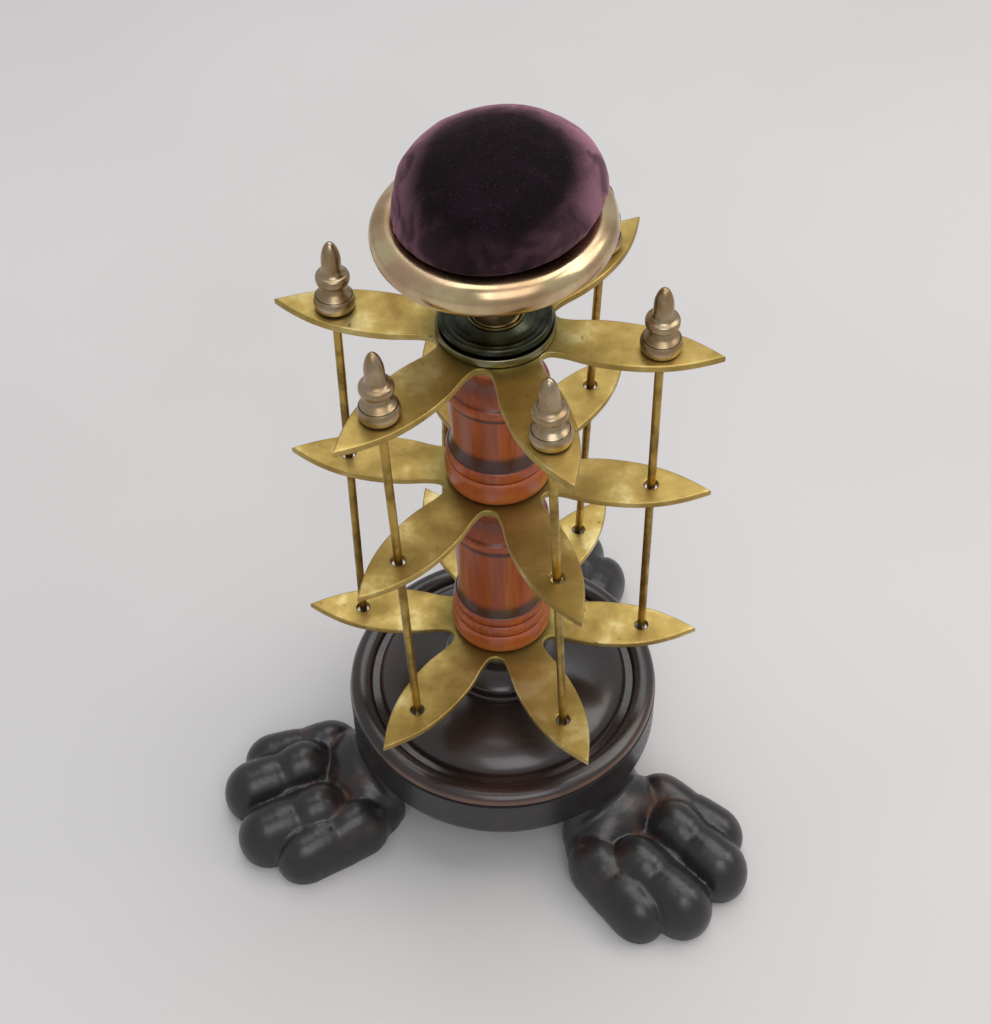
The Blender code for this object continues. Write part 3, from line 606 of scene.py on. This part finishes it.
def makeDish(brass):
    look = dishLook
    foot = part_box("cushion_dish")[0].z
    rimMiddle = foot + look["rimHeight"]
    roll = arcPoints((look["rimRadius"], rimMiddle), look["rimRoll"], look["rollFrom"], look["rollTo"],
                     look["rollSteps"])
    floor = foot + look["floorHeight"] + look["wall"]
    well = curvePoints((0.4 * look["rimRadius"], floor), (0.65 * look["rimRadius"], floor),
                       (roll[0][0], floor + 0.3 * (rimMiddle - floor)),
                       (roll[0][0], rimMiddle - 0.4 * look["rimRoll"]), 10)
    under = curvePoints(roll[-1], (0.62 * roll[-1][0], foot + look["floorHeight"]),
                        (look["neckRadius"], foot + look["floorHeight"] - look["wall"]),
                        (look["neckRadius"], foot + look["neckHeight"]), 20)[1:]
    base = [(look["footRadius"], foot + look["footHeight"]), (look["footRadius"], foot), (look["bore"], foot)]
    start = (look["bore"], floor)
    piece = columnPiece("spunDish", [start] + well + roll + under + base + [start], look["steps"])
    for vertex in piece.data.vertices:
        share = (vertex.co.z - foot - look["bend"][0]) / (look["bend"][1] - look["bend"][0])
        vertex.co = tiltSpot(vertex.co, min(1, max(0, share)))
    markWearAndPaintedLight(piece, look["wearAndLightDepth"])
    dress(piece, brass, "stand", "polished_brass", "cushion_dish")


# leaves of a star plate: a round notch, a full belly and a sharp tip
plateLook = {"leaves": 6, "reach": 55.0 * mm, "width": 15.2 * mm, "belly": 29.5 * mm, "tipAngle": math.radians(32),
             "notchRadius": 15.0 * mm, "notchRound": 2.8 * mm, "holeRadius": 1.75 * mm, "bore": rodBore,
             "edgeRound": 0.45 * mm, "edgeSteps": 3, "curveSteps": 12, "smoothAngle": 40}


def wireLine(number):
    low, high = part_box(f"spindle_{number}")
    along = Vector(next(j["axis"] for j in frame["joints"] if j["child"] == f"reel_pin_{number}")).normalized()
    return (low + high) / 2, along


def wireAt(number, height):
    middle, along = wireLine(number)
    return middle + along * ((height - middle.z) / along.z)


def leafKnots(look):
    half = math.pi / look["leaves"]
    inward = Vector((math.cos(half), math.sin(half), 0))
    across = Vector((math.sin(half), -math.cos(half), 0))
    ahead = Vector((1, 0, 0))
    centre = inward * (look["notchRadius"] + look["notchRound"])
    pull = look["notchRound"] * 4 / 3 * math.tan((math.pi / 2 - half) / 4)
    notch = centre - look["notchRound"] * inward
    root = centre - look["notchRound"] * Vector((0, 1, 0))
    belly = Vector((look["belly"], look["width"] / 2, 0))
    tip = Vector((look["reach"], 0, 0))
    neckPull = 0.35 * (look["belly"] - root.x)
    tipPull = 0.36 * (look["reach"] - look["belly"])
    back = Vector((-math.cos(look["tipAngle"]), math.sin(look["tipAngle"]), 0)) * tipPull
    rising = [
        (notch, notch - pull * across, notch + pull * across),
        (root, root - pull * ahead, root + neckPull * ahead),
        (belly, belly - 1.6 * neckPull * ahead, belly + 1.2 * tipPull * ahead),
        (tip, tip + back, tip + Vector((back.x, -back.y, 0))),
    ]
    flip = Matrix.Scale(-1, 4, (0, 1, 0))
    falling = [(flip @ spot, flip @ after, flip @ before) for spot, before, after in rising[1:3]]
    return rising + falling[::-1]


def addCircle(curve, centre, radius):
    ring = curve.splines.new("BEZIER")
    ring.use_cyclic_u = True
    ring.bezier_points.add(3)
    pull = radius * 4 / 3 * math.tan(math.pi / 8)
    for i, point in enumerate(ring.bezier_points):
        spot = Vector((math.cos(i * math.pi / 2), math.sin(i * math.pi / 2), 0))
        along = Vector((-spot.y, spot.x, 0))
        point.co = Vector(centre) + radius * spot
        point.handle_left = point.co - pull * along
        point.handle_right = point.co + pull * along


def makePlate(name, node, brass):
    look = plateLook
    low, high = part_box(node)
    middle = (low.z + high.z) / 2
    curve = bpy.data.curves.new(name, "CURVE")
    curve.dimensions = "2D"
    curve.fill_mode = "BOTH"
    curve.resolution_u = look["curveSteps"]
    curve.offset = -look["edgeRound"]
    curve.extrude = (high.z - low.z) / 2 - look["edgeRound"]
    curve.bevel_depth = look["edgeRound"]
    curve.bevel_resolution = look["edgeSteps"]
    first = wireAt(1, middle) - Vector((axisX, axisY, middle))
    outline = curve.splines.new("BEZIER")
    outline.use_cyclic_u = True
    knots = leafKnots(look)
    outline.bezier_points.add(len(knots) * look["leaves"] - 1)
    turn = math.atan2(first.y, first.x)
    for i, point in enumerate(outline.bezier_points):
        spin = Matrix.Rotation(turn - 2 * math.pi * (i // len(knots)) / look["leaves"], 4, "Z")
        point.co, point.handle_left, point.handle_right = [spin @ spot for spot in knots[i % len(knots)]]
    for number in range(1, look["leaves"] + 1):
        spot = wireAt(number, middle) - Vector((axisX, axisY, middle))
        addCircle(curve, spot, look["holeRadius"])
    addCircle(curve, (0, 0, 0), look["bore"])
    plate = bpy.data.objects.new(name, curve)
    bpy.context.scene.collection.objects.link(plate)
    plate.location = (axisX, axisY, middle)
    pick(plate)
    bpy.ops.object.convert(target="MESH")
    plate = bpy.context.object
    fixPlace(plate)
    bpy.ops.object.mode_set(mode="EDIT")
    closeSkin(look["smoothAngle"])
    flat = plate.modifiers.new("flat faces", "WEIGHTED_NORMAL")
    flat.keep_sharp = True
    applyAll(plate)
    dress(plate, brass, "stand", "satin_brass", node)


finialLook = {"baseRadius": 5.1 * mm, "baseHeight": 5.4 * mm, "neckRadius": 2.9 * mm, "ringRadius": 4.2 * mm,
              "ringHeight": 2.6 * mm, "shankRadius": 2.4 * mm, "height": 18.7 * mm, "neckHeight": 1.6 * mm,
              "ringDepth": 0.6 * mm, "neckDepth": 0.5 * mm, "shankFlare": (0.1 * mm, 0.4 * mm), "baseFlare": 0.4 * mm,
              "groove": 0.3 * mm, "grooveStep": 8, "grooveLip": 0.1 * mm, "grooveWidth": 0.45 * mm,
              "footEdge": 0.35 * mm, "bore": 1.4 * mm, "boreDepth": 8.5 * mm, "steps": 48, "wearAndLightDepth": 0.4 * mm}
wireLook = {"radius": 1.1 * mm, "sides": 24, "endRound": 0.3 * mm, "endSteps": 2, "smoothAngle": 50}


def finialOutline():
    look = finialLook
    ringFoot = look["baseHeight"] + look["neckHeight"]
    ringTop = ringFoot + look["ringHeight"]
    shankFoot = ringTop + look["neckHeight"]
    shoulder = 0.72 * look["height"]
    tip = curvePoints((0, look["height"]), (0.65 * look["shankRadius"], look["height"]),
                      (look["shankRadius"], shoulder + 0.3 * (look["height"] - shoulder)),
                      (look["shankRadius"], shoulder), 12)
    ring = beadPoints(look["ringRadius"], look["ringDepth"], ringTop, ringFoot)
    shank = curvePoints((look["shankRadius"], shoulder), (look["shankRadius"], shankFoot),
                        (look["shankRadius"] + look["shankFlare"][0], ringTop + look["shankFlare"][1]),
                        ring[0], 8)[1:-1]
    neck = covePoints(ring[-1], (look["neckRadius"], look["baseHeight"]), look["neckDepth"], 6)
    base = curvePoints((look["neckRadius"], look["baseHeight"]),
                       (look["neckRadius"] + look["baseFlare"], 0.7 * look["baseHeight"]),
                       (look["baseRadius"], 0.75 * look["baseHeight"]),
                       (look["baseRadius"], 0.25 * look["baseHeight"]), 14)
    radius, height = base[look["grooveStep"]]
    groove = [(radius - look["groove"], height - look["grooveLip"]),
              (radius - look["grooveLip"], height - look["grooveWidth"])]
    base[look["grooveStep"] + 1:look["grooveStep"] + 1] = groove
    foot = [(look["baseRadius"] - look["footEdge"], 0), (look["bore"], 0), (look["bore"], look["boreDepth"]),
            (0, look["boreDepth"])]
    return tip + shank + ring + neck + base + foot


def makeSpindles(finialBrass, rodBrass):
    pattern = turnPiece("turnedFinial", finialOutline(), finialLook["steps"], (0, 0))
    markWearAndPaintedLight(pattern, finialLook["wearAndLightDepth"])
    for number in range(1, plateLook["leaves"] + 1):
        body = f"reel_pin_{number}"
        middle, along = wireLine(number)
        lean = Vector((0, 0, 1)).rotation_difference(along)
        knob = copyPiece(pattern)
        knob.name = f"turnedFinial_{number}"
        knob.rotation_mode = "QUATERNION"
        knob.rotation_quaternion = lean
        knob.location = wireAt(number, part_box(f"finial_{number}")[1].z - finialLook["height"] * along.z)
        fixPlace(knob)
        dress(knob, finialBrass, body, "dull_brass", f"finial_{number}")
        low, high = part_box(f"spindle_{number}")
        length = (high.z - low.z - 2 * wireLook["radius"] * math.sqrt(1 - along.z ** 2)) / along.z
        clearSelection()
        bpy.ops.mesh.primitive_cylinder_add(vertices=wireLook["sides"], radius=wireLook["radius"], depth=length,
                                            location=middle)
        wire = bpy.context.object
        wire.name = f"brassWire_{number}"
        wire.rotation_mode = "QUATERNION"
        wire.rotation_quaternion = lean
        fixPlace(wire)
        rounding = wire.modifiers.new("round ends", "BEVEL")
        rounding.width = wireLook["endRound"]
        rounding.segments = wireLook["endSteps"]
        rounding.limit_method = "ANGLE"
        applyAll(wire)
        bpy.ops.object.shade_smooth_by_angle(angle=math.radians(wireLook["smoothAngle"]))
        dress(wire, rodBrass, body, "satin_brass", f"spindle_{number}")
    bpy.data.objects.remove(pattern, do_unlink=True)


# the casting: egg-shaped masses for toes, ankle and palm, joined with the apron into one skin
pawLook = {
    "azimuths": (-44.0, 76.0, 199.0), "reach": 86.5 * mm, "round": 9.5 * mm, "flare": 6.0 * mm, "lobes": 9,
    "crease": 0.58, "creaseSpread": 0.15, "segments": 32, "rings": 16,
    "middleToe": {"length": 35.0 * mm, "offset": 8.2 * mm, "width": 8.7 * mm, "tip": 17.0 * mm, "knuckle": 20.0 * mm,
                  "saddle": 3.2 * mm, "setback": 0.0, "splay": 0.0},
    "outerToe": {"length": 36.0 * mm, "offset": 19.2 * mm, "width": 7.8 * mm, "tip": 14.5 * mm, "knuckle": 17.0 * mm,
                 "saddle": 1.8 * mm, "setback": 9.0 * mm, "splay": 9.0},
    "ankle": {"width": 18.0 * mm, "length": 12.0 * mm, "crest": 20.5 * mm},
    "leg": {"width": 15.0 * mm, "length": 8.0 * mm, "crest": 29.0 * mm},
    "palm": {"width": 19.0 * mm, "length": 20.0 * mm, "crest": 13.0 * mm},
}
apronLook = {"radius": 45.2 * mm, "wall": 6.0 * mm, "clearance": 22.5 * mm, "edge": 3.0 * mm, "web": 6.0 * mm,
             "fillet": 5.0 * mm, "bore": rodBore, "voxel": 0.62 * mm, "fairing": 5, "spare": 3.0 * mm,
             "steps": 192, "smoothAngle": 55, "wearAndLightDepth": 0.9 * mm, "wearAndLightRounds": 40}


def addLobe(place, size, turn=0.0):
    bpy.ops.mesh.primitive_uv_sphere_add(segments=pawLook["segments"], ring_count=pawLook["rings"], radius=1,
                                         location=place, rotation=(0, 0, turn), scale=size)
    return bpy.context.object


def makePaw():
    look = pawLook
    lobes = []
    for toe in (look["middleToe"], look["outerToe"]):
        for side in (-1, 1):
            turn = math.radians(toe["splay"]) * side
            tip = Vector((look["reach"] - toe["setback"], side * toe["offset"], 0))
            for i in range(look["lobes"]):
                share = i / (look["lobes"] - 1)
                back = look["round"] + (toe["length"] - 2 * look["round"]) * share
                crest = toe["tip"] + (toe["knuckle"] - toe["tip"]) * share
                crest -= toe["saddle"] * math.exp(-((share - look["crease"]) / look["creaseSpread"]) ** 2)
                middle = crest / 2 - look["flare"] / 2
                spot = tip - back * Vector((math.cos(turn), math.sin(turn), 0)) + Vector((0, 0, middle))
                lobes.append(addLobe(spot, (look["round"], toe["width"], crest - middle), turn))
    palm = look["palm"]
    palmPlace = (look["reach"] - look["middleToe"]["length"] + look["round"], 0, 0)
    lobes.append(addLobe(palmPlace, (palm["length"], palm["width"], palm["crest"])))
    for mass, reach in ((look["ankle"], apronLook["radius"]), (look["leg"], apronLook["radius"] - apronLook["wall"])):
        spot = (reach, 0, mass["crest"] / 2 - look["flare"])
        lobes.append(addLobe(spot, (mass["length"], mass["width"], mass["crest"] / 2 + look["flare"])))
    paw = pick(*lobes)
    bpy.ops.object.join()
    fixPlace(paw)
    return paw


def makeCasting(iron):
    look = apronLook
    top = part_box("tripod_base")[1].z
    spare = look["spare"]
    edge = arcPoints((look["radius"] - look["edge"], look["clearance"] + look["edge"]), look["edge"], 0, -90, 10)
    disc = [(0, top + spare), (look["radius"], top + spare)] + edge + [(0, look["clearance"])]
    casting = columnPiece("castTripod", disc, look["steps"])
    clearSelection()
    first = makePaw()
    paws = [first] + [copyPiece(first) for azimuth in pawLook["azimuths"][1:]]
    for paw, azimuth in zip(paws, pawLook["azimuths"]):
        paw.location = (axisX, axisY, 0)
        paw.rotation_euler = (0, 0, math.radians(azimuth))
    pick(casting, *paws)
    bpy.ops.object.join()
    skin = casting.modifiers.new("one skin", "REMESH")
    skin.mode = "VOXEL"
    skin.voxel_size = look["voxel"]
    fair = casting.modifiers.new("fair", "SMOOTH")
    fair.factor = 0.5
    fair.iterations = look["fairing"]
    applyAll(casting)

    webUnder = top - look["web"]
    inner = look["radius"] - look["wall"]
    hollow = [(0, top + spare), (look["bore"], top + spare), (look["bore"], webUnder)]
    hollow += arcPoints((inner - look["fillet"], webUnder - look["fillet"]), look["fillet"], 90, 0, 8)
    hollow += [(inner, -spare), (0, -spare)]
    cutters = [columnPiece("hollowCutter", hollow)]
    size = 4 * pawLook["reach"]
    for height in (-size / 2, top + size / 2):
        clearSelection()
        bpy.ops.mesh.primitive_cube_add(size=size, location=(axisX, axisY, height))
        fixPlace(bpy.context.object)
        cutters.append(bpy.context.object)
    for cutter in cutters:
        cut = casting.modifiers.new("cut", "BOOLEAN")
        cut.operation = "DIFFERENCE"
        cut.object = cutter
    applyAll(casting)
    for cutter in cutters:
        bpy.data.objects.remove(cutter, do_unlink=True)
    pick(casting)
    bpy.ops.object.shade_smooth_by_angle(angle=math.radians(look["smoothAngle"]))
    markWearAndPaintedLight(casting, look["wearAndLightDepth"], look["wearAndLightRounds"])
    dress(casting, iron, "stand", "black_iron", "tripod_base")


# the cushion: sewn slightly small, blown tight as cloth and tucked in behind the rim
cushionLook = {"radius": 24.9 * mm, "crown": 15.0 * mm, "lift": 9.2 * mm, "tuckGap": 0.35 * mm, "slack": 0.5 * mm,
               "voxel": 1.3 * mm, "simScale": 20, "frames": 20, "cap": 1.0 * mm, "lump": 0.35 * mm,
               "lumpSize": 9 * mm, "lean": (2.4 * mm, 0.6 * mm), "free": 6 * mm, "clothDepth": 2.2 * mm,
               "crownTurn": 105, "crownSteps": 24, "tuckFrom": 85, "woolTuckFrom": 128, "tuckTo": 180,
               "tuckSteps": 12, "steps": 64, "woolSteps": 48, "heldHeight": 0.3 * mm, "finer": 2}
clothLook = {"quality": 6, "mass": 0.3, "tension_stiffness": 15, "compression_stiffness": 15,
             "bending_stiffness": 0.5, "use_pressure": True, "uniform_pressure_force": 4.0,
             "vertex_group_mass": "held"}


def cushionOutline(inset, tuckDepth, tuckFrom):
    look = cushionLook
    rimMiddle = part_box("cushion_dish")[0].z + dishLook["rimHeight"]
    widest = rimMiddle + look["lift"]
    crown = []
    for i in range(look["crownSteps"] + 1):
        angle = math.radians(90 - look["crownTurn"] * i / look["crownSteps"])
        radius = (look["radius"] - inset) * max(math.cos(angle), 0)
        crown.append((radius, widest + (look["crown"] - inset) * math.sin(angle)))
    crown[0] = (0, crown[0][1])
    tuckRadius = dishLook["rimRoll"] + look["tuckGap"] + tuckDepth
    tuck = arcPoints((dishLook["rimRadius"], rimMiddle), tuckRadius, tuckFrom, look["tuckTo"],
                     look["tuckSteps"])
    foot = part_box("velvet_cover")[0].z
    return crown + tuck + [(tuck[-1][0], foot), (0, foot)]


def blowUp(piece):
    look = cushionLook
    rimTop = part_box("cushion_dish")[1].z
    start = [v.co.copy() for v in piece.data.vertices]
    held = piece.vertex_groups.new(name="held")
    held.add([v.index for v in piece.data.vertices if v.co.z < rimTop + look["heldHeight"]], 1.0, "REPLACE")
    piece.data.transform(Matrix.Scale(look["simScale"], 4))
    cloth = piece.modifiers.new("Cloth", "CLOTH")
    for setting, value in clothLook.items():
        setattr(cloth.settings, setting, value)
    cloth.settings.effector_weights.gravity = 0
    cloth.collision_settings.use_collision = False
    scene = bpy.context.scene
    cloth.point_cache.frame_start = 1
    cloth.point_cache.frame_end = look["frames"]
    for number in range(1, look["frames"] + 1):
        scene.frame_set(number)
    applyAll(piece)
    scene.frame_set(1)
    piece.data.transform(Matrix.Scale(1 / look["simScale"], 4))
    furthest = 0
    for vertex, home in zip(piece.data.vertices, start):
        step = vertex.co - home
        furthest = max(furthest, step.length)
        if step.length > look["cap"]:
            vertex.co = home + step * (look["cap"] / step.length)
    print("cushion swelled by up to", round(furthest / mm, 2), "mm")


# the pad sits a little over to one side in the tilted dish, and the share says how far a point is free of the rim
def leanOver(vertex, rimTop):
    share = min(1, max(0, (vertex.co.z - rimTop) / cushionLook["free"]))
    tilted = tiltSpot(vertex.co, 1)
    vertex.co = tilted + share * Vector((*cushionLook["lean"], 0))
    return share


def makeFilling(wool):
    look = cushionLook
    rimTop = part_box("cushion_dish")[1].z
    outline = cushionOutline(look["clothDepth"], look["clothDepth"], look["woolTuckFrom"])
    piece = columnPiece("woolFilling", outline, look["woolSteps"])
    for vertex in piece.data.vertices:
        leanOver(vertex, rimTop)
    dress(piece, wool, "stand", "wool_stuffing", "cushion_filling")


def makeCushion(velvet):
    look = cushionLook
    piece = columnPiece("velvetCushion", cushionOutline(look["slack"], 0, look["tuckFrom"]), look["steps"])
    remesh = piece.modifiers.new("even cloth", "REMESH")
    remesh.mode = "VOXEL"
    remesh.voxel_size = look["voxel"]
    applyAll(piece)
    blowUp(piece)
    lumps = bpy.data.textures.new("stuffing", "CLOUDS")
    lumps.noise_scale = look["lumpSize"]
    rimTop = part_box("cushion_dish")[1].z
    crown = piece.vertex_groups.new(name="crown")
    for vertex in piece.data.vertices:
        crown.add([vertex.index], leanOver(vertex, rimTop), "REPLACE")
    uneven = piece.modifiers.new("stuffing", "DISPLACE")
    uneven.texture = lumps
    uneven.texture_coords = "LOCAL"
    uneven.vertex_group = "crown"
    uneven.strength = 2 * look["lump"]
    finer = piece.modifiers.new("finer", "SUBSURF")
    finer.levels = look["finer"]
    finer.render_levels = look["finer"]
    applyAll(piece)
    bpy.ops.object.shade_smooth()
    dress(piece, velvet, "stand", "plum_velvet", "velvet_cover")


# stage and camera

stageLook = {"floor": "#c3c0be", "shade": ("#bfbcba", (0.3, 0.7, 0.0, 1.0)), "shadeSize": 1000 / 6 * mm, "size": 4.0,
             "world": "#eef0f3", "worldStrength": 0.6, "lampAim": 0.6}
lampLook = (
    {"name": "window", "place": (0.9, 0.05, 0.95), "size": 0.7, "power": 4.5, "tint": "#fff8ee"},
    {"name": "ceiling", "place": (0.15, 0.42, 1.6), "size": 1.4, "power": 14.0, "tint": "#fbfcff"},
    {"name": "front", "place": (0.15, -0.95, 1.15), "size": 0.9, "power": 7.0, "tint": "#f6f8ff"},
)
cameraLook = {"elevation": 48.1, "roll": -1.256, "distance": 476.3 * mm, "aim": (-1.03 * mm, -66.17 * mm),
              "focalPixels": 1790, "imageWidth": 991, "sensor": 36, "clipStart": 10 * mm}


def makeStage():
    clearSelection()
    bpy.ops.mesh.primitive_plane_add(size=stageLook["size"], location=(0, 0, 0))
    floor = bpy.context.object
    floor.name = "floor"
    material, tree, shader, place = startMaterial("pale painted board", Roughness=0.7)
    soft = addNode(tree, "ShaderNodeTexNoise", {"Vector": place, "Scale": 1 / stageLook["shadeSize"],
                                                "Detail": 2.0}).outputs[0]
    layTints(tree, shader, stageLook["floor"], (stageLook["shade"], soft))
    floor.data.materials.append(material)
    world = bpy.data.worlds.new("soft room")
    world.use_nodes = True
    back = world.node_tree.nodes["Background"]
    back.inputs["Color"].default_value = linear(stageLook["world"])
    back.inputs["Strength"].default_value = stageLook["worldStrength"]
    bpy.context.scene.world = world
    for look in lampLook:
        bpy.ops.object.light_add(type="AREA", location=look["place"])
        lamp = bpy.context.object
        lamp.name = look["name"]
        lamp.data.size = look["size"]
        lamp.data.energy = look["power"]
        lamp.data.color = linear(look["tint"])[:3]
        aim = Vector((axisX, axisY, plateTop * stageLook["lampAim"])) - Vector(look["place"])
        lamp.rotation_mode = "QUATERNION"
        lamp.rotation_quaternion = aim.to_track_quat("-Z", "Y")


def makeCamera():
    look = cameraLook
    rise = math.radians(look["elevation"])
    roll = math.radians(look["roll"])
    back = Vector((0, -math.cos(rise), math.sin(rise)))
    right = Vector((1, 0, 0))
    up = back.cross(right)
    turnedRight = math.cos(roll) * right + math.sin(roll) * up
    turnedUp = math.cos(roll) * up - math.sin(roll) * right
    spot = Vector((axisX + look["aim"][0], axisY, plateTop + look["aim"][1])) + look["distance"] * back
    bpy.ops.object.camera_add(location=spot)
    camera = bpy.context.object
    camera.name = "photoCamera"
    camera.matrix_world = Matrix.Translation(spot) @ Matrix((turnedRight, turnedUp, back)).transposed().to_4x4()
    camera.data.sensor_fit = "HORIZONTAL"
    camera.data.sensor_width = look["sensor"]
    camera.data.lens = look["focalPixels"] / look["imageWidth"] * camera.data.sensor_width
    camera.data.clip_start = look["clipStart"]
    bpy.context.scene.camera = camera


makeStage()
makeCamera()
print("stage and camera set")
makeColumns(makeMahogany())
makePlinth(makeBlackWood())
print("woodwork turned")
sheetBrass = makeSatinBrass()
for tier in ("top", "middle", "bottom"):
    makePlate(f"starPlate_{tier}", f"star_plate_{tier}", sheetBrass)
makeCollar(makeDarkBrass())
makeDish(makeSpunBrass())
makeSpindles(makeDullBrass(), makeWireBrass())
print("brasswork made")
makeCasting(makeCastIron())
print("casting made")
makeFilling(makePlain(*woolLook))
makeCushion(makeVelvet())
dressHidden()
print("cushion made")

bpy.context.scene.view_settings.view_transform = "Standard"
clearSelection()
